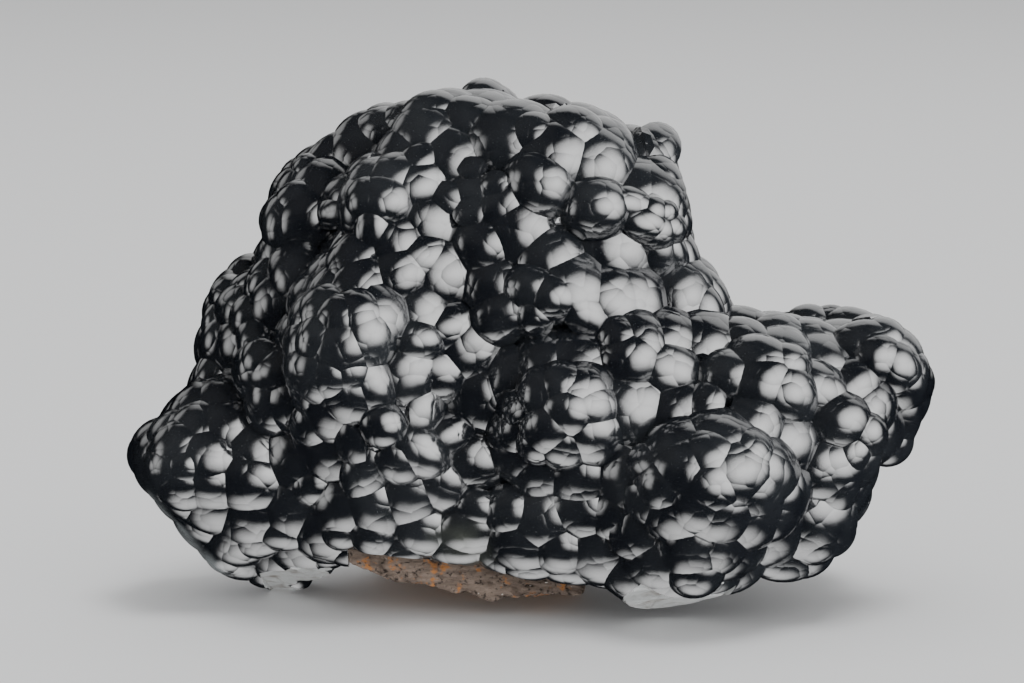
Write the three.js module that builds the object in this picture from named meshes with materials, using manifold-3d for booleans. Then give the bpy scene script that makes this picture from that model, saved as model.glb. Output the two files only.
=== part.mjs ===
// A cabinet specimen of botryoidal goethite: a black, mirror-bright mass of grape-like lobes, grown
// over a thin slab of brown, iron-stained rock that still shows along the bottom. Millimetres, +Z up,
// the front towards -Y, resting on z = 0.
import * as THREE from "three";
import { mergeVertices } from "three/addons/utils/BufferGeometryUtils.js";
import Module from "manifold-3d";

const wasm = await Module();
wasm.setup();

// Driving dimensions
const viewTilt = THREE.MathUtils.degToRad(8); // the front is described as seen from this far above level
const viewDistance = 430; // from this far away
const aim = new THREE.Vector3(-2.4, 0, 39.2); // the point looked at, in the upright middle plane
const aimUp = 38.8; // its height on the tilted plane that the front is measured on
const swell = 0.2; // each lobe is this share larger than its visible dome, and sunk by as much
const ballFrom = 5.1; // lobes of this radius and over stand out as balls, and smaller ones as low domes
const fineFrom = 8.5; // balls over this radius have finer facets
const lumpRelief = 0.7; // how far a lump's centre lies from its mass's, as a share of the mass's radius
const lumpFloor = 0.86; // the bottom of the deepest groove between lumps, as such a share
const restGap = 0.35; // between the goethite and the rock slab set into it

// The masses that grew together, each an ellipsoid heart with broad lumps, which make the sides and
// back, and with the lobes of its front. A heart's place is the across, up and depth of its centre,
// and a lobe is the across, up and depth of its centre, then its radius. Across and up are measured
// where the line of sight crosses the middle plane, and depth runs away from the viewer.
const masses = {
  upper: {
    at: [-11, 42, 10.5],
    half: [30, 22.5, 32.5],
    detail: 6,
    lumpCount: 70,
    lobes: {
      leftFlank: [
        [-44, 37.5, 4, 5.8], [-43.5, 44, 5, 5.4], [-41, 47.5, 10, 5], [-38.5, 44.5, -1, 5.2],
        [-35, 50, -2, 5.8], [-39.5, 40, -2, 5.4], [-38, 34.5, -7, 6.2], [-36.5, 29.5, -8, 5.2],
        [-33.2, 46, -7, 5], [-44, 33, 7, 5.5],
      ],
      leftShoulder: [
        [-35.8, 56.5, 9, 4.8], [-33, 61.3, 7, 5.2], [-34, 57, -1, 6], [-30.5, 62.5, 3, 5.6],
        [-29.5, 59, -3, 4.8], [-25.5, 67.5, 3, 5], [-21, 70, 1, 4.8],
      ],
      middleDome: [
        [-27.5, 37.5, -15, 8.4], [-30.5, 34.5, -17.5, 5.2], [-25.5, 41.5, -18, 5.2],
        [-30, 42.5, -15, 4.6],
      ],
      upperDomes: [
        [-25, 48.5, -12, 6.4], [-18.8, 49, -13, 5.4], [-21, 60, -8, 7.6], [-22.4, 58.6, -12.5, 5],
        [-16, 62.5, -9, 4.8], [-15, 57, -8, 4.4], [-13.6, 53, -11, 3.9],
      ],
      crown: [
        [-15.5, 70.3, -5, 5.6], [-11.5, 72, -5, 4.2], [-6, 73, 2, 5.8], [-5, 69.5, -7, 5.6],
        [-11.5, 66.5, -7, 4], [-15, 65.8, -7, 4.2], [-0.4, 69, -10, 4.6], [3, 71, -4, 5],
        [6.2, 68.6, -10, 5.2], [11.2, 66.2, -8, 5.6], [9.5, 69.5, -2, 4.6], [14.5, 67, 2, 4.4],
        [18, 67.6, -2, 3.2],
      ],
      brow: [
        [1.5, 62.5, -12, 6.4], [-3, 63.5, -9, 5], [10.4, 58.6, -13, 6], [18.6, 62, -7, 4.6],
        [17.6, 56, -9, 6.8], [18.2, 60, 0, 5.1], [19.4, 54.5, -2, 5.1], [4, 57, -12, 5],
      ],
      brokenRidge: [
        [-7.8, 60.8, -9, 4], [-4.6, 58.8, -11, 4.2], [-11.5, 58.8, -8, 4.2], [-10, 63.5, -7, 3.8],
      ],
      waist: [
        [-6.8, 53, -11.5, 5.6], [-2, 53.6, -11, 4.6], [3.4, 53.4, -10, 4.6], [7.2, 54.6, -9, 4],
        [-12.8, 48.4, -10, 4.6], [-11.6, 44.6, -10, 4.8],
      ],
      centre: [
        [-4.4, 42.4, -12.5, 6], [-16, 39, -13.5, 5.8], [-20.5, 42, -12, 5], [1.2, 41, -11, 5.2],
        [-9, 37, -10.5, 5], [-3.6, 36.4, -9.5, 5.2], [-17.4, 33.6, -13.5, 4.6], [-12, 34, -11, 4.6],
        [-7.6, 30.4, -10, 4.2],
      ],
      lowerLeftDomes: [
        [-21.5, 26.2, -15, 6.6], [-15.4, 22, -13.5, 5.6], [-24.6, 19.6, -12, 5.1],
        [-30.2, 27.6, -12.5, 5.1], [-31, 22, -9, 5.1],
      ],
    },
  },
  right: {
    at: [29, 23, 8],
    half: [25, 21, 17],
    detail: 5,
    lumpCount: 56,
    lobes: {
      centreRight: [
        [3.6, 45.4, -15, 6.2], [0, 46.8, -13.5, 4.4], [6.6, 43.6, -14, 4.6], [12.6, 45.6, -12, 5.8],
        [15, 43.4, -10, 4.4], [23.2, 47, -7, 5.2], [24.6, 44.6, -4.5, 5.1],
      ],
      innerSwirl: [
        [6.2, 28.4, -19, 7], [3.6, 31, -19, 4.6], [2.4, 25.2, -18.5, 4.8], [-2, 31.2, -13, 3.9],
        [-2.6, 25.4, -13, 4.6], [2.2, 35.6, -12, 4], [7.6, 37.2, -13, 4.6], [10, 24.5, -17, 5],
      ],
      rightDomes: [
        [14.8, 36.6, -15, 6.4], [17.6, 34.4, -15, 5.6], [15.6, 28.6, -16, 5.2],
        [20.4, 30.6, -13.5, 4.6], [21.4, 40, -11, 5], [25.2, 40.4, -8, 4.6], [29.4, 34.4, -15, 4.6],
        [25.4, 33.4, -13, 4], [27.6, 28.8, -16, 4.6], [22.5, 35.6, -11, 4.4],
      ],
      rightShelf: [
        [35, 33.4, -16, 5.1], [38.8, 33, -15, 5.1], [34.4, 29, -17, 5.1], [32.4, 36.4, -11, 5.1],
        [38, 37.4, -8, 5.6], [43.6, 35.6, -7, 5.1], [30, 38.6, -5, 5.1], [35, 37.6, 2, 5.6],
        [41.5, 38.4, 4, 5.6], [46, 38.6, 3, 5.6],
      ],
      rightTip: [
        [52, 37, -8, 5.8], [54.6, 33.2, -8, 5.4], [50.6, 34, -9, 5], [55.9, 33, -2, 5.1],
        [51.6, 38, 0, 5], [53.1, 25, -6, 5.1], [53.5, 28.5, -1, 5.1], [50.4, 28, -5, 5.1],
      ],
      rightEnd: [
        [46.8, 27.2, -14, 5.2], [49.4, 24.6, -13.5, 4.6], [41.4, 26, -13, 4.4], [38.4, 22.6, -14, 4.6],
        [42.6, 22.4, -12, 4.8], [45.2, 19.2, -14, 5.2], [48, 17, -9, 3.8],
      ],
      rightBelly: [
        [27, 17.2, -21, 9.4], [22.6, 18.4, -22.5, 6.4], [31.6, 20, -21, 6.8], [33.4, 14.6, -17, 7.6],
        [25, 23, -19, 5.4], [18.2, 17.4, -19, 4.8], [36.4, 18, -18, 4.6],
      ],
      rightLower: [
        [24.4, 7.2, -18, 7.2], [43.4, 11.6, -11, 5.8], [40.4, 8.6, -8, 5], [37, 9, -9, 5.4],
        [18, 5.6, -14, 5.4], [30, 7, -13, 5.6],
      ],
      bellyFoot: [[19, 3.4, -11, 5.6], [25.4, 4.2, -9, 4]],
    },
  },
  knob: {
    at: [-43, 19, 8],
    half: [12, 12, 11],
    detail: 4,
    lumpCount: 26,
    lobes: {
      leftKnob: [
        [-46.5, 22, 0, 10], [-51, 20, -5, 6.8], [-55.2, 22, 1, 5.1], [-41.5, 18, -6, 4.6],
        [-47, 28, 1, 5.5], [-41.5, 12, -2, 5], [-47.5, 14, 0, 5], [-44, 8.5, 3, 5], [-39.2, 7, 8, 5.1],
      ],
      leftFoot: [
        [-34, 7, 3, 5.2], [-35.5, 13.5, -3, 5.6], [-30.5, 10, -2, 4.2], [-35, 21, -5, 5],
        [-35.5, 4.6, 11, 5.1],
      ],
    },
  },
  base: {
    at: [0, 20, 12],
    half: [37, 20, 16],
    detail: 4,
    lumpCount: 60,
    lobes: {
      frontFoot: [
        [-16.4, 11.6, -8.5, 5.4], [-24.4, 11.2, -6, 5.4], [-28.4, 15.6, -7, 5.2],
        [-20.2, 16.6, -9.5, 5.4],
      ],
      valley: [
        [-8, 21, -9.5, 5.1], [1, 19, -13, 5.1], [8.4, 18.4, -15, 5.1], [-3.2, 13.6, -12, 5.2],
        [2.8, 12, -12.5, 5.1], [8, 12.4, -13.5, 5.1], [13, 12.2, -15, 5.1], [4.8, 7.6, -12, 5.1],
        [11.4, 6.8, -12, 5.1], [-9.2, 11, -9, 5.3], [-1.8, 8.4, -10, 5.1],
      ],
    },
  },
};

// The left end is broken off along a slanting plane.
const fracture = { at: [-56.5, 0, 13.5], tilt: 46, size: [60, 90, 30] };

// All that would reach below the surface that the specimen rests on is worn flat.
const ground = { at: [0, 0, 0], tilt: 0, size: [300, 300, 60] };

// The rock slab, with the heights along its front edge from its left end to its right: lower, upper.
const slab = { left: -26.8, right: 8.4, front: -12.5, back: 27, rough: 0.5, segments: [10, 6, 1] };
const slabLip = [[8.4, 10.6], [5.1, 10], [4.2, 9], [2.4, 8.1], [3, 6.7], [3.4, 6.1]];
const slabFall = 0.14; // how fast its underside drops towards the back, until it meets the ground

const lustre = { color: 0x0b0d10, roughness: 0.12, metalness: 0.35 };
const rockFinish = { color: 0x7a5a44, roughness: 0.95, metalness: 0 };

const sightline = new THREE.Vector3(0, Math.cos(viewTilt), -Math.sin(viewTilt));
const sightUp = new THREE.Vector3(0, Math.sin(viewTilt), Math.cos(viewTilt));

// The real place of a point seen at across and up, that far behind the middle plane.
function place(across, up, depth) {
  const spread = 1 + depth / viewDistance;
  return aim
    .clone()
    .add(new THREE.Vector3((across - aim.x) * spread, 0, 0))
    .addScaledVector(sightUp, (up - aimUp) * spread)
    .addScaledVector(sightline, depth);
}

// A repeatable number from 0 to 1 for each whole number.
function scatter(n) {
  const wave = Math.sin(n * 12.9898 + 4.1414) * 43758.5453;
  return wave - Math.floor(wave);
}

// Directions spread evenly over a ball, each nudged a little from its place.
function spreadDirections(count) {
  const goldenAngle = Math.PI * (3 - Math.sqrt(5));
  const nudge = 0.9 / Math.sqrt(count);
  return Array.from({ length: count }, (_, i) => {
    const height = 1 - (2 * (i + 0.5)) / count;
    const ring = Math.sqrt(1 - height * height);
    return new THREE.Vector3(
      ring * Math.cos(i * goldenAngle) + nudge * (scatter(3 * i) - 0.5),
      ring * Math.sin(i * goldenAngle) + nudge * (scatter(3 * i + 1) - 0.5),
      height + nudge * (scatter(3 * i + 2) - 0.5),
    ).normalize();
  });
}

// The solid that a closed three.js geometry encloses.
function solidOf(geometry) {
  geometry.deleteAttribute("normal");
  geometry.deleteAttribute("uv");
  const merged = mergeVertices(geometry, 1e-4);
  return new wasm.Manifold(
    new wasm.Mesh({
      numProp: 3,
      vertProperties: new Float32Array(merged.attributes.position.array),
      triVerts: new Uint32Array(merged.index.array),
    }),
  );
}

// How far along a ray from the origin a ball's far side is, or 0 where the ray misses it.
function farSide(ray, centre, radius) {
  const along = ray.dot(centre);
  const left = radius ** 2 - centre.lengthSq() + along ** 2;
  return left > 0 ? along + Math.sqrt(left) : 0;
}

// A mass's lobes at their real places, each grown by the swell and sunk by as much into the heart.
function placeLobes({ at, half, lobes }) {
  const middle = place(...at);
  const stretch = new THREE.Vector3(...half);
  return Object.values(lobes).flat().map(([across, up, depth, seen]) => {
    const centre = place(across, up, depth);
    const inward = centre.clone().sub(middle).divide(stretch).divide(stretch).normalize().negate();
    return { centre: centre.addScaledVector(inward, swell * seen), radius: (1 + swell) * seen, seen };
  });
}

// One large lobe, turned so that no two of them lie alike.
function ballSolid({ centre, radius }) {
  const geometry =
    radius > fineFrom ? new THREE.IcosahedronGeometry(radius, 2) : new THREE.OctahedronGeometry(radius, 1);
  geometry.rotateX(centre.x);
  geometry.rotateZ(centre.z);
  geometry.translate(...centre);
  return solidOf(geometry);
}

// The heart of a mass: a ball stretched to its size, whose surface is pushed out to its lumps and to
// the small lobes.
function heartSolid({ at, half, detail, lumpCount }, smallLobes) {
  const middle = place(...at);
  const stretch = new THREE.Vector3(...half);
  const lumpCentres = spreadDirections(lumpCount).map((direction) => direction.multiplyScalar(lumpRelief));
  const geometry = new THREE.IcosahedronGeometry(1, detail);
  const position = geometry.attributes.position;
  const point = new THREE.Vector3();
  for (let i = 0; i < position.count; i++) {
    point.fromBufferAttribute(position, i).normalize();
    const lumps = lumpCentres.map((centre) => farSide(point, centre, 1 - lumpRelief));
    const heart = point.clone().multiply(stretch).multiplyScalar(Math.max(lumpFloor, ...lumps));
    const ray = heart.clone().normalize();
    const lobes = smallLobes.map(({ centre, radius }) => farSide(ray, centre.clone().sub(middle), radius));
    position.setXYZ(i, ...ray.multiplyScalar(Math.max(heart.length(), ...lobes)).add(middle));
  }
  return solidOf(geometry);
}

function massSolid(mass) {
  const lobes = placeLobes(mass);
  const heart = heartSolid(mass, lobes.filter(({ seen }) => seen < ballFrom));
  const balls = lobes.filter(({ seen }) => seen >= ballFrom).map(ballSolid);
  return balls.reduce((sum, ball) => sum.add(ball), heart);
}

// The rock slab: a rough block whose underside slopes down to a flat foot on z = 0. Grow makes it
// larger all round, for cutting its bed in the goethite.
function slabSolid(grow) {
  const width = slab.right - slab.left;
  const depth = slab.back - slab.front;
  const geometry = new THREE.BoxGeometry(1, 1, 1, ...slab.segments);
  const position = geometry.attributes.position;
  for (let i = 0; i < position.count; i++) {
    const across = position.getX(i) + 0.5;
    const behind = position.getY(i) + 0.5;
    const upward = position.getZ(i) + 0.5;
    const stretch = across * (slabLip.length - 1);
    const k = Math.min(Math.floor(stretch), slabLip.length - 2);
    const [low, high] = [0, 1].map((edge) => {
      return THREE.MathUtils.lerp(slabLip[k][edge], slabLip[k + 1][edge], stretch - k);
    });
    const rough = (n) => slab.rough * (2 * scatter(across * 1310 + behind * 170 + upward * 29 + n) - 1);
    const bottom = Math.max(0, low - slabFall * depth * behind) - grow;
    const top = high + rough(0) + grow;
    position.setXYZ(
      i,
      slab.left - grow + (width + 2 * grow) * across + (across % 1 ? 0 : rough(1)),
      slab.front - grow + (depth + 2 * grow) * behind + (behind % 1 ? 0 : rough(2)),
      bottom + (top - bottom) * upward,
    );
  }
  return solidOf(geometry);
}

// A block whose top face has its middle at a point, turned about the front-to-back axis.
function blockSolid({ size, at, tilt }) {
  const geometry = new THREE.BoxGeometry(...size);
  geometry.translate(0, 0, -size[2] / 2);
  geometry.rotateY(THREE.MathUtils.degToRad(tilt));
  geometry.translate(...at);
  return solidOf(geometry);
}

// The masses joined, without the pockets closed in between their lobes.
function goethiteSolid() {
  const joined = Object.values(masses).map(massSolid).reduce((sum, mass) => sum.add(mass));
  const grown = joined.decompose().reduce((most, body) => (body.volume() > most.volume() ? body : most));
  return grown.subtract(blockSolid(ground)).subtract(blockSolid(fracture)).subtract(slabSolid(restGap));
}

function meshOf(name, solid, finish) {
  const { vertProperties, triVerts } = solid.getMesh();
  const geometry = new THREE.BufferGeometry();
  geometry.setAttribute("position", new THREE.BufferAttribute(vertProperties, 3));
  geometry.setIndex(new THREE.BufferAttribute(triVerts, 1));
  geometry.computeVertexNormals();
  const mesh = new THREE.Mesh(geometry, new THREE.MeshStandardMaterial(finish));
  mesh.name = name;
  return mesh;
}

const specimen = new THREE.Group();
specimen.add(meshOf("goethite_botryoids", goethiteSolid(), lustre));
specimen.add(meshOf("matrix_rock", slabSolid(0), rockFinish));

export default specimen;
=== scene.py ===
import math
import random

import bmesh
import bpy
import numpy as np
from mathutils import Matrix, Vector, noise


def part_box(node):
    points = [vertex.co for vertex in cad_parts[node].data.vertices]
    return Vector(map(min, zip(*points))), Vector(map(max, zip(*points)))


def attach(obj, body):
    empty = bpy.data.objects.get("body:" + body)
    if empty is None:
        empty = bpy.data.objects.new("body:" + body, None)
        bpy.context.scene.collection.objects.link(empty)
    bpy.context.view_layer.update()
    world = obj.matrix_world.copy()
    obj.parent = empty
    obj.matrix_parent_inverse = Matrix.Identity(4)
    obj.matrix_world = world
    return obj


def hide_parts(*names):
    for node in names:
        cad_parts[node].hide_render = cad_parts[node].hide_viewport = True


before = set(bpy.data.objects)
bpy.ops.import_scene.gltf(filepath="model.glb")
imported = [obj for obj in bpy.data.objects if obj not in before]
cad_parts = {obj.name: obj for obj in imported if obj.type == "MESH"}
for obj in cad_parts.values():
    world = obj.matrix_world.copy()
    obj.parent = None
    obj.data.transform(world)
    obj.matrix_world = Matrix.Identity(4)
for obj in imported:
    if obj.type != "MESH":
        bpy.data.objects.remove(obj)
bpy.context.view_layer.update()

mm = 0.001

# The goethite specimen: black, mirror-bright lobes grown over a slab of brown rock. Shapes are worked
# out in millimetres in the frame of the solids, +Z up with the front towards -Y, and made in metres.

view = {
    "tilt": 8,  # degrees above level
    "distance": 430,
    "aim": (-2.4, 0, 39.2),
    "aimUp": 38.8,  # height of the aim on the tilted plane that the front is measured on
    "frameWidth": 153.6,  # what the picture's width covers at the aim
    "sensor": 36,
}

# The lobes of the front: across, up and depth of each centre as the camera sees it, then the radius.
lobes = {
    "leftKnob": [
        (-46.5, 22, 0, 10), (-51, 20, -5, 6.8), (-55.5, 22, 1, 4.6), (-41.5, 18, -6, 4.6),
        (-47, 28, 1, 5.5), (-41.5, 12, -2, 5), (-47.5, 14, 0, 5), (-44, 8.5, 3, 5),
        (-39.5, 6.5, 8, 4.6),
    ],
    "leftFoot": [
        (-34, 7, 3, 5.2), (-35.5, 13.5, -3, 5.6), (-30.5, 10, -2, 4.2), (-35, 21, -5, 5),
        (-35.5, 5, 13, 4.4),
    ],
    "leftFlank": [
        (-44, 37.5, 4, 5.8), (-43.5, 44, 5, 5.4), (-41, 47.5, 10, 5), (-38.5, 44.5, -1, 5.2),
        (-35, 50, -2, 5.8), (-39.5, 40, -2, 5.4), (-38, 34.5, -7, 6.2), (-36.5, 29.5, -8, 5.2),
        (-33.2, 46, -7, 5), (-44, 33, 7, 5.5),
    ],
    "leftShoulder": [
        (-35.8, 56.5, 9, 4.8), (-33, 61.3, 7, 5.2), (-34, 57, -1, 6), (-30.5, 62.5, 3, 5.6),
        (-29.5, 59, -3, 4.8), (-25.5, 67.5, 3, 5), (-21, 70, 1, 4.8),
    ],
    "middleDome": [
        (-27.5, 37.5, -15, 8.4), (-30.5, 34.5, -17.5, 5.2), (-25.5, 41.5, -18, 5.2),
        (-30, 42.5, -15, 4.6),
    ],
    "upperDomes": [
        (-25, 48.5, -12, 6.4), (-18.8, 49, -13, 5.4), (-21, 60, -8, 7.6), (-22.4, 58.6, -12.5, 5),
        (-16, 62.5, -9, 4.8), (-15, 57, -8, 4.4), (-13.6, 53, -11, 3.9),
    ],
    "crown": [
        (-15.5, 70.3, -5, 5.6), (-11.5, 72, -5, 4.2), (-6, 73, 2, 5.8), (-5, 69.5, -7, 5.6),
        (-11.5, 66.5, -7, 4), (-15, 65.8, -7, 4.2), (-0.4, 69, -10, 4.6), (3, 71, -4, 5),
        (6.2, 68.6, -10, 5.2), (11.2, 66.2, -8, 5.6), (9.5, 69.5, -2, 4.6), (14.5, 67, 2, 4.4),
        (19.4, 68.2, -3, 3.6),
    ],
    "brow": [
        (1.5, 62.5, -12, 6.4), (-3, 63.5, -9, 5), (10.4, 58.6, -13, 6), (18.6, 62, -7, 4.6),
        (4, 57, -12, 5),
    ],
    "druse": [(17.6, 56, -9, 6.8), (19, 60, 0, 4.2), (20, 54.5, -2, 4.6)],
    "brokenRidge": [
        (-7.8, 60.8, -9, 4), (-4.6, 58.8, -11, 4.2), (-11.5, 58.8, -8, 4.2), (-10, 63.5, -7, 3.8),
    ],
    "waist": [
        (-6.8, 53, -11.5, 5.6), (-2, 53.6, -11, 4.6), (3.4, 53.4, -10, 4.6), (7.2, 54.6, -9, 4),
        (-12.8, 48.4, -10, 4.6), (-11.6, 44.6, -10, 4.8),
    ],
    "centre": [
        (-4.4, 42.4, -12.5, 6), (-16, 39, -13.5, 5.8), (-20.5, 42, -12, 5), (1.2, 41, -11, 5.2),
        (-9, 37, -10.5, 5), (-3.6, 36.4, -9.5, 5.2), (-17.4, 33.6, -13.5, 4.6), (-12, 34, -11, 4.6),
        (-7.6, 30.4, -10.5, 4.4),
    ],
    "centreRight": [
        (3.6, 45.4, -15, 6.2), (0, 46.8, -13.5, 4.4), (6.6, 43.6, -14, 4.6), (12.6, 45.6, -12, 5.8),
        (15, 43.4, -10, 4.4), (23.2, 47, -7, 5.2), (25, 45, -4.5, 4),
    ],
    "innerSwirl": [
        (6.2, 28.4, -19, 7), (3.6, 31, -19, 4.6), (2.4, 25.2, -18.5, 4.8), (-2, 31.2, -13, 3.9),
        (-2.6, 25.4, -13, 4.6), (2.2, 35.6, -12, 4), (7.6, 37.2, -13, 4.6), (10, 24.5, -17, 5),
    ],
    "rightDomes": [
        (14.8, 36.6, -15, 6.4), (17.6, 34.4, -15, 5.6), (15.6, 28.6, -16, 5.2),
        (20.4, 30.6, -13.5, 4.6), (21.4, 40, -11, 5), (25.2, 40.4, -8, 4.6), (29.4, 34.4, -15, 4.6),
        (25.4, 33.4, -13, 4), (27.6, 28.8, -16, 4.6), (22.5, 35.6, -11, 4.4),
    ],
    "rightShelf": [
        (35, 33.4, -16, 5), (38.6, 33, -15, 5), (33.8, 29.4, -17, 4.8), (38.2, 28.6, -15.5, 4.6),
        (32.4, 36.4, -11, 5), (38, 37.4, -8, 5.6), (43.6, 36.4, -6, 4.8), (30.5, 39, -5, 5),
        (35, 37.6, 2, 5.6), (41.5, 38.4, 4, 5.6), (46, 38.6, 3, 5.6), (44.4, 31.6, -11, 4.2),
    ],
    "rightTip": [
        (52, 37, -8, 5.8), (54.6, 33.2, -8, 5.4), (50.6, 34, -9, 5), (57.2, 33, -2, 3.8),
        (51.6, 38, 0, 5), (53.6, 24.8, -6, 4.6), (55, 28, -1, 3.5), (51.4, 28, -5, 5),
    ],
    "rightEnd": [
        (46.8, 27.2, -14, 5.2), (49.4, 24.6, -13.5, 4.6), (41.4, 26, -13, 4.4), (38.4, 22.6, -14, 4.6),
        (42.6, 22.4, -12, 4.8), (45.2, 19.2, -14, 5.2), (48, 17, -9, 3.8),
    ],
    "rightBelly": [
        (27, 17.2, -21, 9.4), (22.6, 18.4, -22.5, 6.4), (31.6, 20, -21, 6.8), (33.4, 14.6, -17, 7.6),
        (25, 23, -19, 5.4), (18.2, 17.4, -19, 4.8), (36.4, 18, -18, 4.6),
    ],
    "rightLower": [
        (24.4, 7.2, -18, 7.2), (43.4, 11.6, -11, 5.8), (40.4, 8.6, -8, 5), (37, 9, -9, 5.4),
        (18, 5.6, -14, 5.4), (30, 7, -13, 5.6),
    ],
    "bellyFoot": [(19, 3.4, -11, 5.6), (25.4, 4.2, -9, 4)],
    "valley": [
        (12.6, 13, -15, 4.2), (15.4, 9.8, -16.5, 4.2), (-3.2, 13.4, -12, 5), (2, 12, -12.5, 4.6),
        (7.4, 12.4, -13, 4.4), (7.4, 17.8, -15, 4.6), (12.2, 19, -15, 4.6), (1, 18.6, -13, 4.4),
        (4.6, 7.6, -12, 4.8), (10, 6.6, -12, 4.4), (-8, 20.6, -9.5, 4.4), (-9.2, 10.4, -9, 5),
        (-1.6, 8, -10, 5), (-8.4, 25.4, -10, 4.4), (-8.6, 15.4, -9.5, 4.4),
    ],
    "lowerLeftDomes": [
        (-21.5, 26.2, -15, 6.6), (-15.4, 22, -13.5, 5.6), (-24.6, 19, -12, 5), (-30.2, 27.6, -12.5, 5),
        (-25.4, 31, -15, 5), (-30.8, 22, -8, 4.8), (-32, 17.4, -6, 4.6), (-28.6, 13.6, -7, 4.8),
        (-23, 13.6, -9, 4.8), (-17.6, 15.4, -10, 4.8), (-12.8, 15.6, -9, 4.4), (-22, 9.6, -7, 4.6),
        (-15.8, 10, -8, 4.8), (-27.6, 9.6, -4, 4.2),
    ],
}

# How the cells of each group of lobes grew: their width, and the degrees that a cell turns by at its
# edge beyond the lobe's own curve.
habits = {
    "leftKnob": (4.2, 14), "leftFoot": (4.6, 17), "leftFlank": (4, 20), "leftShoulder": (4, 18),
    "middleDome": (3.8, 15), "upperDomes": (3.8, 18), "crown": (5.2, 17), "brow": (5.6, 15),
    "brokenRidge": (2.8, 18), "waist": (4.2, 20), "centre": (4.2, 24), "centreRight": (4.2, 20),
    "innerSwirl": (4.2, 17), "rightDomes": (4.2, 21), "rightShelf": (4, 20), "rightTip": (4.2, 17),
    "rightEnd": (4.2, 21), "rightBelly": (4.4, 13), "rightLower": (5, 17), "bellyFoot": (6.5, 12),
    "druse": (2.5, 19), "valley": (4.2, 25), "lowerLeftDomes": (4.3, 26), "hidden": (5.2, 18),
}

# The hearts of the masses: across, up and depth of the centre, then half-sizes. Their far sides carry
# the lobes that the picture doesn't show.
hearts = {
    "upper": {"at": (-11, 42, 10.5), "half": (30, 22.5, 32.5), "lobes": 84},
    "right": {"at": (29, 23, 8), "half": (25, 21, 17), "lobes": 52},
    "knob": {"at": (-43, 19, 8), "half": (12, 12, 11), "lobes": 26},
    "base": {"at": (0, 20, 12), "half": (37, 20, 16), "lobes": 60},
}

growth = {
    "seed": 7,
    "blend": 1.7,  # how far the valleys between lobes are filled
    "shrink": 0.35,  # taken off each lobe, as the blend swells them
    "heartShare": 0.88,  # the heart under the lobes, as a share of its half-sizes
    "coreDepth": 1.3,  # how far under its cells a lobe's plain core lies
    "hiddenRadius": (6.4, 9.4),
    "hiddenFrom": 0.05,  # how far back on a heart its own lobes start
    "hiddenInset": 0.98,  # how much of a hidden lobe's radius lies inside its heart
    "stray": 0.75,  # nudge of evenly spread directions, beside the space between them
    "chunk": 1500,  # how many spots are measured at once
    "settling": 4,  # steps that bring a spot onto the skin
    "leastSlope": 0.45,
    "bendReach": 1.9,  # how far to each side the skin's curve is measured
    "seatShare": 0.13,  # area of one seat, beside the square of a cell's width
    "deepest": -2.2,  # seats further under the skin are left out
    "lowest": -3,  # and so are seats below this height
    "apart": 0.92,  # least distance of two cells, beside their mean width
    "spread": (0.75, 1.35),  # smallest and largest cell, as shares of its group's width
    "poleShare": 1.3,  # the widest cell on top of a lobe, beside its radius
    "creaseShare": 0.88,  # how much of its group's degrees a cell turns by
    "creaseSpread": 0.2,
    "leastCrease": 0.3,  # the least that chance leaves of it
    "uneven": 0.13,  # how far a cell is from round
    "curve": (2, 9),  # smallest and largest radius of a cell
    "leastCurve": 0.52,  # its smallest radius beside its width
    "rise": 1.1,  # height of the ball that a cell is cut from, beside its smaller radius
    "lift": 0.07,  # how much cells stand above or below the skin
    "capReach": 0.97,  # radius of a cap beside the width of its cell
    "fullest": 0.96,  # sine of the angle that the fullest cap spans from its top
    "capDepth": 3.2,  # how deep a cap reaches under its rim
    "capShare": 110,  # degrees of the ball, from its top, that are drawn into the cap
    "capFineness": 3,
    "lobeFineness": 2,
    "heartFineness": 4,
}

noCell = -1  # mark of a face that isn't part of a cell

# Flat breaks: a spot on each, and the way from it into the stone that is left.
broken = {
    "ground": {"at": (0, 0, 0), "into": (0, 0, 1), "size": (200, 160, 30), "rough": 0},
    "tip": {"at": (-56.3, -4, 13.3), "into": (0.67, 0.3, 0.67), "size": (60, 90, 30), "rough": 0.8},
    "foot": {"at": (-33.3, -3, 4), "into": (0.05, 0.42, 0.9), "size": (14, 22, 8), "rough": 0.15},
    "belly": {"at": (18.7, -17.5, 3.7), "into": (-0.12, 0.5, 0.86), "size": (20, 14, 6), "rough": 0.3},
}

# The broken faces: lumps, and small steps whose height is a share of theirs.
chipping = {"cuts": 40, "lumpScale": 0.16, "steps": 0.6, "stepScale": 1.3}

slab = {
    "left": -26.8, "right": 8.4, "front": -12.5, "back": 27,
    "lip": [(8.4, 10.6), (5.1, 10), (4.2, 9), (2.4, 8.1), (3, 6.7), (3.4, 6.1)],  # lower and upper edge
    "fall": 0.14,  # slope of the underside towards the back
    "thick": 6,  # about how thick it is, for the number of faces up its edge
    "grain": 0.5,  # size of one face
    "overlap": 0.25,  # how much smaller the bed is that is cut for it, so that no gap shows
    "cutFront": -40,  # nothing hangs in front of the slab's edge
    "cutBelow": -5,
    "cutGrain": 4,
    "worn": 5,
    "wornFrom": 0.75,  # how near to a corner the wear starts
    "wornBack": 0.4,  # wear along the whole back, beside that of the corners
    "wornScale": 0.12,
    "lumps": 0.9,
    "lumpScale": 0.3,
    "highest": 0.3,  # how far a lump may stand out
    "layers": 1.1,
    "layerScale": (0.25, 0.3, 1.4),
    "dip": 0.2,  # slope of the layers
    "pits": 1.6,
    "pitScale": 0.8,
    "pitFrom": 0.1,
}

sightLine = Vector((0, math.cos(math.radians(view["tilt"])), -math.sin(math.radians(view["tilt"]))))
sightUp = Vector((0, math.sin(math.radians(view["tilt"])), math.cos(math.radians(view["tilt"]))))


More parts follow.
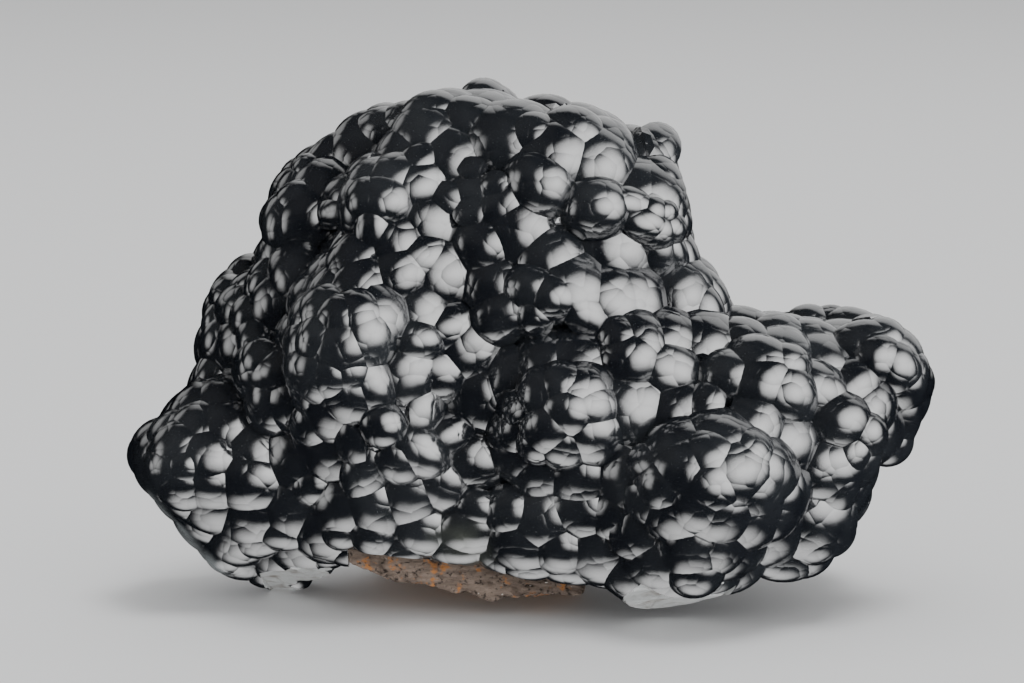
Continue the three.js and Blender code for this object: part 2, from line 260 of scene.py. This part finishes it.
def place(across, up, depth):
    # From across, up and depth as the camera sees them to a spot in the frame.
    aim = Vector(view["aim"])
    spread = 1 + depth / view["distance"]
    side = Vector(((across - aim.x) * spread, 0, 0))
    return aim + side + sightUp * ((up - view["aimUp"]) * spread) + sightLine * depth


def spreadDirections(count, rng):
    # An even spiral of directions, turned at random and each nudged a little.
    angle = rng.uniform(0, 6.28)
    axis = Vector((rng.gauss(0, 1), rng.gauss(0, 1), rng.gauss(0, 1)))
    turn = Matrix.Rotation(angle, 3, axis)
    golden = math.pi * (3 - math.sqrt(5))
    nudge = growth["stray"] / math.sqrt(count)
    for i in range(count):
        height = 1 - 2 * (i + 0.5) / count
        ring = math.sqrt(1 - height * height)
        spot = turn @ Vector((ring * math.cos(i * golden), ring * math.sin(i * golden), height))
        yield (spot + Vector(rng.uniform(-nudge, nudge) for _ in range(3))).normalized()


def linkPiece(name, bm, materials=()):
    mesh = bpy.data.meshes.new(name)
    bm.to_mesh(mesh)
    bm.free()
    piece = bpy.data.objects.new(name, mesh)
    for material in materials:
        mesh.materials.append(material)
    return piece


# Lobes and cells

def listLobes(rng):
    found = [(place(a, u, d), r, name) for name, group in lobes.items() for a, u, d, r in group]
    for heart in hearts.values():
        middle = place(*heart["at"])
        half = Vector(heart["half"])
        for direction in spreadDirections(heart["lobes"], rng):
            radius = rng.uniform(*growth["hiddenRadius"])
            if direction.y < growth["hiddenFrom"]:
                continue
            reach = half - Vector((radius, radius, radius)) * growth["hiddenInset"]
            found.append((middle + direction * reach, radius, "hidden"))
    return found


class Skin:
    # The smooth surface that runs over all the lobes and hearts, with their valleys partly filled.
    def __init__(self, found):
        self.centres = np.array([centre for centre, _, _ in found])
        self.radii = np.array([radius for _, radius, _ in found]) - growth["shrink"]
        self.middles = np.array([place(*heart["at"]) for heart in hearts.values()])
        self.halves = np.array([heart["half"] for heart in hearts.values()]) * growth["heartShare"]

    def measure(self, spots):
        # Height above the surface, and the way out.
        heights = []
        ways = []
        for part in np.array_split(spots, max(1, len(spots) // growth["chunk"])):
            away = part[:, None] - self.centres
            length = np.linalg.norm(away, axis=2)
            scaled = (part[:, None] - self.middles) / self.halves
            level = np.linalg.norm(scaled, axis=2)
            slope = scaled / self.halves
            steep = np.linalg.norm(slope, axis=2)
            high = np.concatenate([length - self.radii, level * (level - 1) / steep], axis=1)
            out = np.concatenate([away / length[..., None], slope / steep[..., None]], axis=1)
            lowest = high.min(axis=1, keepdims=True)
            share = np.exp((lowest - high) / growth["blend"])
            total = share.sum(axis=1, keepdims=True)
            heights.append(lowest[:, 0] - growth["blend"] * np.log(total[:, 0]))
            ways.append((out * (share / total)[..., None]).sum(axis=1))
        return np.concatenate(heights), np.concatenate(ways)

    def settle(self, spots):
        for _ in range(growth["settling"]):
            height, way = self.measure(spots)
            steep = np.maximum(np.linalg.norm(way, axis=1), growth["leastSlope"])
            spots = spots - way * (height / steep ** 2)[:, None]
        return spots

    def bend(self, spots):
        # The way out, and how strongly and which way the surface curves across one cell.
        reach = growth["bendReach"]
        ways = self.point(spots)
        flat = np.cross(ways, np.where(np.abs(ways[:, :1]) < 0.7, (1, 0, 0), (0, 1, 0)))
        flat /= np.linalg.norm(flat, axis=1)[:, None]
        sides = np.stack([flat, np.cross(ways, flat)], axis=1)
        turns = []
        for k in (0, 1):
            step = sides[:, k] * reach
            turns.append(self.point(spots + step) - self.point(spots - step))
        shape = np.einsum("kni,nji->nkj", np.array(turns), sides) / (2 * reach)
        bends, axes = np.linalg.eigh((shape + shape.transpose(0, 2, 1)) / 2)
        return ways, bends, np.einsum("nji,nj->ni", sides, axes[:, :, 0])

    def point(self, spots):
        ways = self.measure(spots)[1]
        return ways / np.linalg.norm(ways, axis=1)[:, None]


def listSeats(found, skin, rng):
    # Where cells could grow: spots on the skin, each with the width it would have.
    spots = []
    widths = []
    owners = []
    poles = []
    for own, (centre, radius, group) in enumerate(found):
        width = habits[group][0]
        if group != "hidden":
            spots.append(centre - sightLine * radius)
            widths.append(min(width * growth["spread"][1], radius * growth["poleShare"]))
            owners.append(own)
            poles.append(True)
        count = round(4 * math.pi * radius ** 2 / (growth["seatShare"] * width ** 2))
        for direction in spreadDirections(count, rng):
            spots.append(centre + direction * radius)
            widths.append(width * rng.uniform(*growth["spread"]))
            owners.append(own)
            poles.append(False)
    spots = np.array(spots)
    widths = np.array(widths)
    owners = np.array(owners)
    poles = np.array(poles)
    height, _ = skin.measure(spots)
    near = (height > growth["deepest"]) & (spots[:, 2] > growth["lowest"])
    return skin.settle(spots[near]), widths[near], owners[near], poles[near]


def thinOut(spots, widths, poles):
    # The cells on top of lobes take their places first, then the widest of the rest.
    kept = []
    for k in np.lexsort((-widths, ~poles)):
        if kept:
            gap = np.linalg.norm(spots[kept] - spots[k], axis=1)
            if (gap < 0.5 * (widths[kept] + widths[k]) * growth["apart"]).any():
                continue
        kept.append(k)
    return kept


def listCells(found, rng):
    # Each cell is a cap: the matrix that takes a unit ball to its surface, and how much of it is used.
    skin = Skin(found)
    spots, widths, owners, poles = listSeats(found, skin, rng)
    kept = thinOut(spots, widths, poles)
    spots, widths, owners = spots[kept], widths[kept], owners[kept]
    ways, bends, sides = skin.bend(spots)
    cells = []
    for spot, width, owner, way, bend, side in zip(spots, widths, owners, ways, bends, sides):
        change = max(growth["leastCrease"], rng.gauss(1, growth["creaseSpread"]))
        crease = habits[found[owner][2]][1] * growth["creaseShare"] * change
        curves = []
        for k in (0, 1):
            uneven = 1 + rng.uniform(-growth["uneven"], growth["uneven"])
            extra = 2 * math.radians(crease) / width * uneven
            curve = 1 / max(bend[k] + extra, 1 / growth["curve"][1])
            curves.append(max(curve, growth["curve"][0], width * growth["leastCurve"]))
        rise = min(curves) * growth["rise"]
        across = [math.sqrt(curve * rise) for curve in curves]
        span = width * growth["capReach"] / math.sqrt(across[0] * across[1])
        reach = math.asin(min(growth["fullest"], span))
        out = Vector(way)
        middle = Vector(spot) + out * (rng.gauss(0, growth["lift"]) - rise)
        first = Vector(side)
        axes = [first * across[0], out.cross(first) * across[1], out * rise, middle]
        matrix = Matrix([[axis[row] for axis in axes] for row in range(3)] + [(0, 0, 0, 1)])
        cells.append((matrix, reach, growth["capDepth"] / rise))
    return cells


def makeCell(matrix, reach, depth, index, material):
    # A ball drawn together into a cap: most of it covers the cap, the rest closes it underneath.
    bm = bmesh.new()
    layer = bm.faces.layers.int.new("cell")
    bmesh.ops.create_icosphere(bm, subdivisions=growth["capFineness"], radius=1)
    rim = math.radians(growth["capShare"])
    for face in bm.faces:
        face[layer] = index if face.calc_center_median().z > math.cos(rim) else noCell
    for vert in bm.verts:
        ring = Vector((vert.co.x, vert.co.y, 0))
        polar = math.atan2(ring.length, vert.co.z)
        under = max(0, polar - rim) / (math.pi - rim) * math.pi / 2
        slant = min(polar / rim, 1) * reach
        ring = ring.normalized() * math.sin(slant) * math.cos(under)
        vert.co = (ring.x, ring.y, math.cos(slant) - depth * math.sin(under))
    bmesh.ops.transform(bm, matrix=matrix, verts=bm.verts)
    return linkPiece(f"cell{index}", bm, [material])


def makeCore(centre, size, fineness, material):
    bm = bmesh.new()
    layer = bm.faces.layers.int.new("cell")
    matrix = Matrix.Translation(centre) @ Matrix.Diagonal((*size, 1))
    bmesh.ops.create_icosphere(bm, subdivisions=fineness, radius=1, matrix=matrix)
    for face in bm.faces:
        face[layer] = noCell
    return linkPiece("core", bm, [material])


def makeBlock(name, block, material):
    # What a break takes away. The top of the block leaves the broken face.
    bm = bmesh.new()
    layer = bm.faces.layers.int.new("cell")
    bmesh.ops.create_cube(bm, size=1)
    if block["rough"]:
        bmesh.ops.subdivide_edges(bm, edges=bm.edges, cuts=chipping["cuts"], use_grid_fill=True)
    bmesh.ops.translate(bm, verts=bm.verts, vec=(0, 0, -0.5))
    bmesh.ops.scale(bm, verts=bm.verts, vec=block["size"])
    for vert in bm.verts:
        if vert.co.z > -0.01:
            spot = vert.co * chipping["lumpScale"]
            steps = chipping["steps"] * noise.cell(spot * chipping["stepScale"])
            vert.co.z += block["rough"] * (noise.noise(spot) + steps)
    facing = Vector(block["into"]).to_track_quat("Z", "Y").to_matrix().to_4x4()
    matrix = Matrix.Translation(Vector(block["at"])) @ facing
    bmesh.ops.transform(bm, matrix=matrix, verts=bm.verts)
    for face in bm.faces:
        face[layer] = noCell
    return linkPiece(name, bm, [material])


def joinWith(piece, others, operation):
    group = bpy.data.collections.new(operation.lower())
    for other in others:
        group.objects.link(other)
    modifier = piece.modifiers.new(operation, "BOOLEAN")
    modifier.operation = operation
    modifier.solver = "MANIFOLD"
    modifier.operand_type = "COLLECTION"
    modifier.collection = group
    modifier.material_mode = "TRANSFER"
    mesh = bpy.data.meshes.new_from_object(piece.evaluated_get(bpy.context.evaluated_depsgraph_get()))
    piece.modifiers.clear()
    old = piece.data
    piece.data = mesh
    bpy.data.meshes.remove(old)
    for other in others:
        bpy.data.meshes.remove(other.data)
    bpy.data.collections.remove(group)


def keepLargest(mesh):
    # Crumbs that the cuts leave loose and closed hollows under the caps are taken out.
    bm = bmesh.new()
    bm.from_mesh(mesh)
    seen = set()
    shells = []
    for start in bm.verts:
        if start in seen:
            continue
        seen.add(start)
        shell = [start]
        for vert in shell:
            for edge in vert.link_edges:
                other = edge.other_vert(vert)
                if other not in seen:
                    seen.add(other)
                    shell.append(other)
        shells.append(shell)
    shells.sort(key=len)
    loose = [vert for shell in shells[:-1] for vert in shell]
    bmesh.ops.delete(bm, geom=loose, context="VERTS")
    bm.to_mesh(mesh)
    bm.free()


def smoothByCell(mesh, cells):
    # Every cap is part of a true ellipsoid, so its normals are worked out instead of taken from facets.
    inverses = [cell[0].inverted() for cell in cells]
    turned = [inverse.to_3x3().transposed() for inverse in inverses]
    owners = mesh.attributes["cell"].data
    normals = [None] * len(mesh.loops)
    for polygon in mesh.polygons:
        owner = owners[polygon.index].value
        for corner in polygon.loop_indices:
            if owner < 0:
                normals[corner] = polygon.normal.copy()
            else:
                spot = mesh.vertices[mesh.loops[corner].vertex_index].co
                normals[corner] = (turned[owner] @ (inverses[owner] @ spot)).normalized()
    mesh.attributes.remove(mesh.attributes["cell"])
    mesh.shade_smooth()
    mesh.normals_split_custom_set(normals)


def fitInside(mesh, box):
    # A lobe that swelled past the solid's box is drawn in with the rest.
    spots = np.array([vert.co for vert in mesh.vertices])
    low, high = spots.min(axis=0), spots.max(axis=0)
    shares = [min(1, (box[1][k] - box[0][k]) / (high[k] - low[k])) for k in range(3)]
    moves = [min(box[1][k] - high[k] * shares[k], max(box[0][k] - low[k] * shares[k], 0)) for k in range(3)]
    mesh.transform(Matrix.Translation(moves) @ Matrix.Diagonal((*shares, 1)))


def makeGoethite(crust, fracture):
    rng = random.Random(growth["seed"])
    found = listLobes(rng)
    cells = listCells(found, rng)
    print("goethite:", len(found), "lobes,", len(cells), "cells")
    parts = [makeCell(*cell, index, crust) for index, cell in enumerate(cells)]
    for centre, radius, _ in found:
        core = radius - growth["coreDepth"]
        parts.append(makeCore(centre, (core, core, core), growth["lobeFineness"], crust))
    for heart in hearts.values():
        size = [h * growth["heartShare"] - growth["coreDepth"] for h in heart["half"]]
        parts.append(makeCore(place(*heart["at"]), size, growth["heartFineness"], crust))
    piece = parts.pop()
    bpy.context.scene.collection.objects.link(piece)
    joinWith(piece, parts, "UNION")
    print("goethite: joined,", len(piece.data.polygons), "faces")
    cutters = [makeBlock(name, block, fracture) for name, block in broken.items()]
    cutters.append(makeSlab("bed", -slab["overlap"], fracture, plain=True))
    joinWith(piece, cutters, "DIFFERENCE")
    keepLargest(piece.data)
    smoothByCell(piece.data, cells)
    piece.data.transform(Matrix.Scale(mm, 4))
    fitInside(piece.data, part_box("goethite_botryoids"))
    piece.name = "goethite"
    print("goethite: cut,", len(piece.data.polygons), "faces")
    return piece


# The rock slab

def lipAt(across):
    # Height of the lower and upper edge, from 0 at the left end to 1 at the right.
    stretch = min(max(across, 0), 0.9999) * (len(slab["lip"]) - 1)
    k = int(stretch)
    return [slab["lip"][k][e] + (slab["lip"][k + 1][e] - slab["lip"][k][e]) * (stretch - k) for e in (0, 1)]


def roughen(bm):
    # Corners break away, then come lumps, layers and pits. Only the lumps stand out a little.
    middle = Vector(((slab["left"] + slab["right"]) / 2, (slab["front"] + slab["back"]) / 2, 0))
    half = Vector(((slab["right"] - slab["left"]) / 2, (slab["back"] - slab["front"]) / 2, 1))
    for vert in bm.verts:
        spot = vert.co.copy()
        away = Vector(((spot.x - middle.x) / half.x, (spot.y - middle.y) / half.y))
        back = max(0, away.y)
        corner = max(0, abs(away.x) ** 6 + away.y ** 6 - slab["wornFrom"]) * back * slab["worn"]
        change = 0.5 + noise.noise(spot * slab["wornScale"])
        corner += slab["worn"] * slab["wornBack"] * back ** 2 * change
        vert.co.x -= away.x * corner
        vert.co.y -= back * corner
    bm.normal_update()
    along, behind, upward = slab["layerScale"]
    for vert in bm.verts:
        spot = vert.co.copy()
        lumps = noise.fractal(spot * slab["lumpScale"], 1, 2.1, 4) * slab["lumps"]
        bedding = Vector((spot.x * along, spot.y * behind, (spot.z + slab["dip"] * spot.x) * upward))
        layers = abs(noise.noise(bedding)) * slab["layers"]
        pits = max(0, noise.noise(spot * slab["pitScale"]) - slab["pitFrom"]) * slab["pits"]
        vert.co += vert.normal * (min(lumps, slab["highest"]) - layers - pits)
        vert.co.z = max(vert.co.z, 0.02)


def makeSlab(name, grow, material, plain=False):
    # The slab itself or, plain, the block that cuts the bed for it.
    front = slab["cutFront"] if plain else slab["front"]
    grain = slab["cutGrain"] if plain else slab["grain"]
    width = slab["right"] - slab["left"]
    depth = slab["back"] - front
    bm = bmesh.new()
    layer = bm.faces.layers.int.new("cell")
    bmesh.ops.create_cube(bm, size=1)
    bmesh.ops.translate(bm, verts=bm.verts, vec=(0.5, 0.5, 0.5))
    for axis, span in enumerate((width, depth, slab["thick"])):
        along = [e for e in bm.edges if abs((e.verts[0].co - e.verts[1].co)[axis]) > 0.5]
        bmesh.ops.subdivide_edges(bm, edges=along, cuts=round(span / grain) - 1, use_grid_fill=True)
    for vert in bm.verts:
        across, behind, upward = vert.co
        low, high = lipAt(across)
        bottom = slab["cutBelow"] if plain else max(0, low - slab["fall"] * depth * behind) - grow
        top = high + grow
        vert.co = (
            slab["left"] - grow + (width + 2 * grow) * across,
            front - grow + (depth + 2 * grow) * behind,
            bottom + (top - bottom) * upward,
        )
    bm.normal_update()
    if not plain:
        roughen(bm)
    for face in bm.faces:
        face[layer] = noCell
        face.smooth = not plain
    if not plain:
        bmesh.ops.scale(bm, verts=bm.verts, vec=(mm, mm, mm))
    return linkPiece(name, bm, [material])


# Materials

class Wire:
    # One output socket, with the maths that the materials and lights use.
    def __init__(self, tree, socket):
        self.tree = tree
        self.socket = socket

    def join(self, operation, *values):
        return self.tree.add("ShaderNodeMath", {"operation": operation}, dict(enumerate(values)))

    def __add__(self, other):
        return self.join("ADD", self, other)

    def __radd__(self, other):
        return self.join("ADD", other, self)

    def __sub__(self, other):
        return self.join("SUBTRACT", self, other)

    def __rsub__(self, other):
        return self.join("SUBTRACT", other, self)

    def __mul__(self, other):
        return self.join("MULTIPLY", self, other)

    def __rmul__(self, other):
        return self.join("MULTIPLY", other, self)


class Nodes:
    # A node tree, and the one way in which nodes come into it.
    def __init__(self, tree):
        self.nodes = tree.nodes
        self.links = tree.links

    def add(self, kind, settings, inputs, output=0):
        node = self.nodes.new(kind)
        for name, value in settings.items():
            if name == "stops":
                ramp = node.color_ramp
                while len(ramp.elements) < len(value):
                    ramp.elements.new(0.5)
                for element, (position, color) in zip(ramp.elements, value):
                    element.position = position
                    element.color = color
            else:
                setattr(node, name, value)
        for name, value in inputs.items():
            self.feed(node.inputs[name], value)
        return Wire(self, node.outputs[output])

    def feed(self, socket, value):
        if isinstance(value, Wire):
            self.links.new(value.socket, socket)
        else:
            socket.default_value = value

    def vector(self, operation, *values, output="Vector"):
        return self.add("ShaderNodeVectorMath", {"operation": operation}, dict(enumerate(values)), output)

    def fade(self, value, start, end, dim=0):
        # Goes smoothly from dim, where the value is at the start, to 1 at the end.
        inputs = {"Value": value, "From Min": start, "From Max": end, "To Min": dim}
        return self.add("ShaderNodeMapRange", {"interpolation_type": "SMOOTHSTEP"}, inputs, "Result")


class Finish(Nodes):
    # A material's nodes.
    def __init__(self, name):
        self.material = bpy.data.materials.new(name)
        self.material.use_nodes = True
        super().__init__(self.material.node_tree)
        self.shader = self.nodes["Principled BSDF"]
        self.place = self.add("ShaderNodeTexCoord", {}, {}, "Object")

    def set(self, values):
        for name, value in values.items():
            self.feed(self.shader.inputs[name], value)

    def noise(self, scale, detail, roughness, distortion=0, place=None):
        inputs = {
            "Vector": place or self.place, "Scale": scale, "Detail": detail,
            "Roughness": roughness, "Distortion": distortion,
        }
        return self.add("ShaderNodeTexNoise", {}, inputs, "Fac")

    def shift(self, scale, strength):
        # The place, moved about by coloured noise.
        inputs = {"Vector": self.place, "Scale": scale, "Detail": 1}
        color = self.add("ShaderNodeTexNoise", {}, inputs, "Color")
        inputs = {0: color, "Scale": strength}
        offset = self.add("ShaderNodeVectorMath", {"operation": "SCALE"}, inputs, "Vector")
        return self.vector("ADD", self.place, offset)

    def ramp(self, value, low, high):
        settings = {"stops": [(low, (0, 0, 0, 1)), (high, (1, 1, 1, 1))]}
        return self.add("ShaderNodeValToRGB", settings, {"Fac": value}, "Color")

    def patches(self, pattern, low, high):
        return self.ramp(self.noise(*pattern), low, high)

    def mix(self, mask, first, second):
        inputs = {"Factor": mask, 6: first, 7: second}
        return self.add("ShaderNodeMix", {"data_type": "RGBA"}, inputs, 2)

    def bump(self, height, strength, distance, normal=None):
        inputs = {"Height": height, "Strength": strength, "Distance": distance}
        if normal:
            inputs["Normal"] = normal
        return self.add("ShaderNodeBump", {}, inputs, "Normal")


# In the looks below, a pattern is the scale, detail, roughness and distortion of its noise. Patches
# have two more numbers: the noise where they start, and where they are full.

crustLook = {
    "ior": 2.3,
    "dark": (0.0055, 0.0065, 0.0085, 1),
    "clouded": (0.014, 0.016, 0.0185, 1),
    "thin": (0.05, 0.055, 0.045, 1),  # where the crust is thin enough to let light through
    "thinAt": (-0.0085, -0.015, 0.013),
    "thinReach": (0.01, 0.003),
    "thinWave": 0.006,  # how far its border wanders
    "edge": (0.2, 0.215, 0.22, 1),  # the broken tip is grey along its rim
    "edgeReach": (0.0026, 0.001),
    "edgeWave": 0.0012,
    "roughness": 0.1,
    "waves": (240, 1, 0.4),
    "fine": (3200, 3, 0.6),
    "scuffs": ((520, 6, 0.72, 1.2), 0.6, 0.68),
    "specks": ((5200, 2, 0.5), 0.7, 0.74),
    "clouds": ((85, 4, 0.55), 0.42, 0.7),
    "subcells": 320,  # faint second pattern of cells, about 3 mm wide
    "subcellShift": (300, 0.0012),  # scale and size of the noise that bends their borders
    "subcellDepth": 0.0005,
    "waveDepth": 0.0005,
    "fineDepth": 0.00005,
}


def crustMaterial():
    finish = Finish("goethite lustre")
    waves = finish.noise(*crustLook["waves"])
    fine = finish.noise(*crustLook["fine"])
    scuffs = finish.patches(*crustLook["scuffs"])
    specks = finish.patches(*crustLook["specks"])
    clouds = finish.patches(*crustLook["clouds"])
    reach = finish.vector("DISTANCE", finish.place, crustLook["thinAt"], output="Value")
    thin = finish.fade(reach + crustLook["thinWave"] * waves, *crustLook["thinReach"])
    tip = broken["tip"]
    offset = finish.vector("SUBTRACT", finish.place, Vector(tip["at"]) * mm)
    depth = finish.vector("DOT_PRODUCT", offset, Vector(tip["into"]).normalized(), output="Value")
    edge = finish.fade(depth + crustLook["edgeWave"] * waves, *crustLook["edgeReach"])
    color = finish.mix(clouds, crustLook["dark"], crustLook["clouded"])
    color = finish.mix(thin, color, crustLook["thin"])
    color = finish.mix(edge, color, crustLook["edge"])
    roughness = crustLook["roughness"] + 0.05 * clouds + 0.12 * scuffs + 0.25 * specks
    roughness = roughness + 0.1 * thin + 0.2 * edge
    shifted = finish.shift(*crustLook["subcellShift"])
    inputs = {"Vector": shifted, "Scale": crustLook["subcells"], "Randomness": 0.9}
    subcells = finish.add("ShaderNodeTexVoronoi", {"feature": "F1"}, inputs, "Distance")
    normal = finish.bump(1 - subcells * subcells, 0.5, crustLook["subcellDepth"])
    normal = finish.bump(waves, 0.3, crustLook["waveDepth"], normal)
    normal = finish.bump(fine - 0.7 * specks - 0.3 * scuffs, 0.16, crustLook["fineDepth"], normal)
    finish.set({"Base Color": color, "Roughness": roughness, "Normal": normal, "IOR": crustLook["ior"]})
    return finish.material


fractureLook = {
    "ior": 2.2,
    "grey": (0.25, 0.26, 0.26, 1),
    "pale": (0.54, 0.55, 0.545, 1),
    "stain": (0.12, 0.095, 0.075, 1),
    "stainReach": (0.5, 0.75),
    "roughness": (0.2, 0.25),  # the least, and what the grain adds
    "grain": (700, 5, 0.65),
    "fibres": (220, 3, 0.6, 2),
    "depth": 0.0004,
}


def fractureMaterial():
    finish = Finish("goethite fracture")
    grain = finish.noise(*fractureLook["grain"])
    fibres = finish.noise(*fractureLook["fibres"])
    color = finish.mix(grain, fractureLook["grey"], fractureLook["pale"])
    color = finish.mix(finish.ramp(fibres, *fractureLook["stainReach"]), color, fractureLook["stain"])
    least, more = fractureLook["roughness"]
    roughness = least + more * grain
    normal = finish.bump(grain + fibres, 0.4, fractureLook["depth"])
    finish.set({"Base Color": color, "Roughness": roughness, "Normal": normal, "IOR": fractureLook["ior"]})
    return finish.material


rockLook = {
    "brown": (0.05, 0.037, 0.03, 1),
    "grey": (0.25, 0.195, 0.16, 1),
    "clay": (0.2, 0.14, 0.1, 1),
    "rust": (0.36, 0.15, 0.045, 1),
    # painted glints: pale specks of colour that stand in for glints of light; they are also less rough
    "paintedGlint": (0.75, 0.72, 0.68, 1),
    # painted shade: the dark colour given to the pores
    "paintedPoreShade": (0.045, 0.032, 0.025, 1),
    "layerTurn": (0, -0.18, 0),
    "layerStretch": (0.35, 0.5, 1.6),
    "streaks": (900, 6, 0.7),
    "streakReach": (0.3, 0.7),
    "grain": (1500, 4, 0.7),
    "stains": ((330, 5, 0.65), 0.56, 0.63),
    "paintedGlints": ((1100, 1, 0.5), 0.74, 0.77),
    "poresAndShade": ((1300, 3, 0.6), 0.34, 0.42),  # pores and the shade painted into them: nothing where a pore is
    "roughness": (0.9, 0.5),  # the most, and what a painted glint takes off
    "depth": 0.0006,
}


def rockMaterial():
    finish = Finish("iron-stained rock")
    turned = {"Vector": finish.place, "Rotation": rockLook["layerTurn"], "Scale": rockLook["layerStretch"]}
    layers = finish.add("ShaderNodeMapping", {}, turned, "Vector")
    streaks = finish.noise(*rockLook["streaks"], place=layers)
    grain = finish.noise(*rockLook["grain"])
    stains = finish.patches(*rockLook["stains"])
    paintedGlints = finish.patches(*rockLook["paintedGlints"])
    poresAndShade = finish.patches(*rockLook["poresAndShade"])
    color = finish.mix(finish.ramp(streaks, *rockLook["streakReach"]), rockLook["brown"], rockLook["grey"])
    color = finish.mix(0.5 * grain, color, rockLook["clay"])
    color = finish.mix(stains, color, rockLook["rust"])
    # painted glints: pale specks of colour where the rock would glint
    color = finish.mix(paintedGlints, color, rockLook["paintedGlint"])
    # painted shade: the pores are coloured dark, as if shade fell in them; the bump also sinks them
    color = finish.mix(poresAndShade, rockLook["paintedPoreShade"], color)
    most, less = rockLook["roughness"]
    normal = finish.bump(streaks + 0.6 * grain + 0.8 * poresAndShade, 0.9, rockLook["depth"])
    finish.set({"Base Color": color, "Roughness": most - less * paintedGlints, "Normal": normal})
    return finish.material


# Studio

# Each softbox hangs towards a direction from the aim, so far away in metres. Soft is how much of it
# fades at its edge, hot how far from its middle it is brightest, and dim how bright it still is
# where it is dimmest.
studio = {
    "key": {
        "toward": (0.62, -0.58, 0.29), "away": 0.6, "size": (1.7, 1.15), "power": 33,
        "soft": 0.5, "hot": 0, "dim": 0.1,
    },
    "round": {
        "toward": (-0.97, -0.16, 0.14), "away": 0.8, "size": (0.66, 0.74), "power": 3,
        "soft": 0.6, "hot": 0, "dim": 0.2,
    },
    "veil": {
        "toward": (-0.6, -0.3, 0.75), "away": 1, "size": (2.6, 2), "power": 0.8,
        "soft": 0.9, "hot": 0.02, "dim": 0.4,
    },
    "rim": {
        "toward": (0.3, 0.75, 0.6), "away": 4.5, "size": (8, 8), "power": 300,
        "soft": 0.4, "hot": 0.1, "dim": 0.5,
    },
    "below": {
        "toward": (0, -0.16, -1), "away": 0.5, "size": (1, 0.86), "power": 9,
        "soft": 0.6, "hot": 0, "dim": 0.15,
    },
    "overhead": {
        "toward": (0.2, -0.12, 1), "away": 3, "size": (1.6, 1.6), "power": 95,
        "soft": 0.6, "hot": 0.1, "dim": 0.5,
    },
    "farLeft": {
        "toward": (-0.75, 0.6, 0.5), "away": 1, "size": (0.7, 0.6), "power": 1.3,
        "soft": 0.5, "hot": 0.1, "dim": 0.5,
    },
}

specimen = bpy.data.collections.new("specimen")  # what the softboxes light
ground = bpy.data.collections.new("ground")  # what the light overhead lights
dimmest = 0.56  # how far from the middle of a softbox, beside its side, its light is dimmest


def makeLight(name, light):
    # A softbox: brightest in its middle, dimmer outwards, and faded at its edge.
    data = bpy.data.lights.new(name, "AREA")
    data.energy = light["power"]
    data.shape = "RECTANGLE"
    data.size, data.size_y = light["size"]
    data.use_nodes = True
    panel = Nodes(data.node_tree)
    spot = panel.add("ShaderNodeNewGeometry", {}, {}, "Parametric")
    centre = panel.vector("SUBTRACT", spot, (0.5, 0.5, 0))
    square = panel.vector("MULTIPLY", centre, centre)
    edge = 0.5 ** 2  # length of the square along the softbox's edge
    border = panel.vector("LENGTH", square, output="Value")
    border = panel.fade(border, edge, edge * (1 - light["soft"]) ** 2)
    middle = panel.vector("LENGTH", centre, output="Value")
    middle = panel.fade(middle, dimmest, light["hot"], light["dim"])
    panel.feed(panel.nodes["Emission"].inputs["Strength"], border * middle)
    lamp = bpy.data.objects.new(name, data)
    toward = Vector(light["toward"]).normalized()
    lamp.location = Vector(view["aim"]) * mm + toward * light["away"]
    lamp.rotation_euler = toward.to_track_quat("Z", "Y").to_euler()
    lamp.visible_camera = False
    bpy.context.scene.collection.objects.link(lamp)
    lamp.light_linking.receiver_collection = ground if name == "overhead" else specimen


floorLook = {"radius": 14, "color": (0.78, 0.785, 0.79, 1), "roughness": 0.7}


def makeStudio():
    bm = bmesh.new()
    bmesh.ops.create_circle(bm, cap_ends=True, segments=96, radius=floorLook["radius"])
    finish = Finish("pale floor")
    finish.set({"Base Color": floorLook["color"], "Roughness": floorLook["roughness"]})
    floor = linkPiece("floor", bm, [finish.material])
    floor.visible_glossy = False
    floor.visible_shadow = False
    bpy.context.scene.collection.objects.link(floor)
    ground.objects.link(floor)
    world = bpy.data.worlds.new("studio")
    world.use_nodes = True
    world.node_tree.nodes["Background"].inputs["Color"].default_value = (1, 1, 1, 1)
    world.cycles_visibility.glossy = False
    bpy.context.scene.world = world
    for name, light in studio.items():
        makeLight(name, light)


def makeCamera():
    lens = bpy.data.cameras.new("camera")
    lens.sensor_width = view["sensor"]
    lens.lens = view["sensor"] * view["distance"] / view["frameWidth"]
    camera = bpy.data.objects.new("camera", lens)
    camera.location = (Vector(view["aim"]) - sightLine * view["distance"]) * mm
    camera.rotation_euler = (-sightLine).to_track_quat("Z", "Y").to_euler()
    bpy.context.scene.collection.objects.link(camera)
    bpy.context.scene.camera = camera


makeCamera()
makeStudio()
print("studio ready")

goethite = makeGoethite(crustMaterial(), fractureMaterial())
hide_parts("goethite_botryoids")
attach(goethite, "root")
specimen.objects.link(goethite)

rock = makeSlab("rock", 0, rockMaterial())
rock.data.attributes.remove(rock.data.attributes["cell"])
bpy.context.scene.collection.objects.link(rock)
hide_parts("matrix_rock")
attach(rock, "root")
specimen.objects.link(rock)
print("rock ready,", len(rock.data.polygons), "faces")
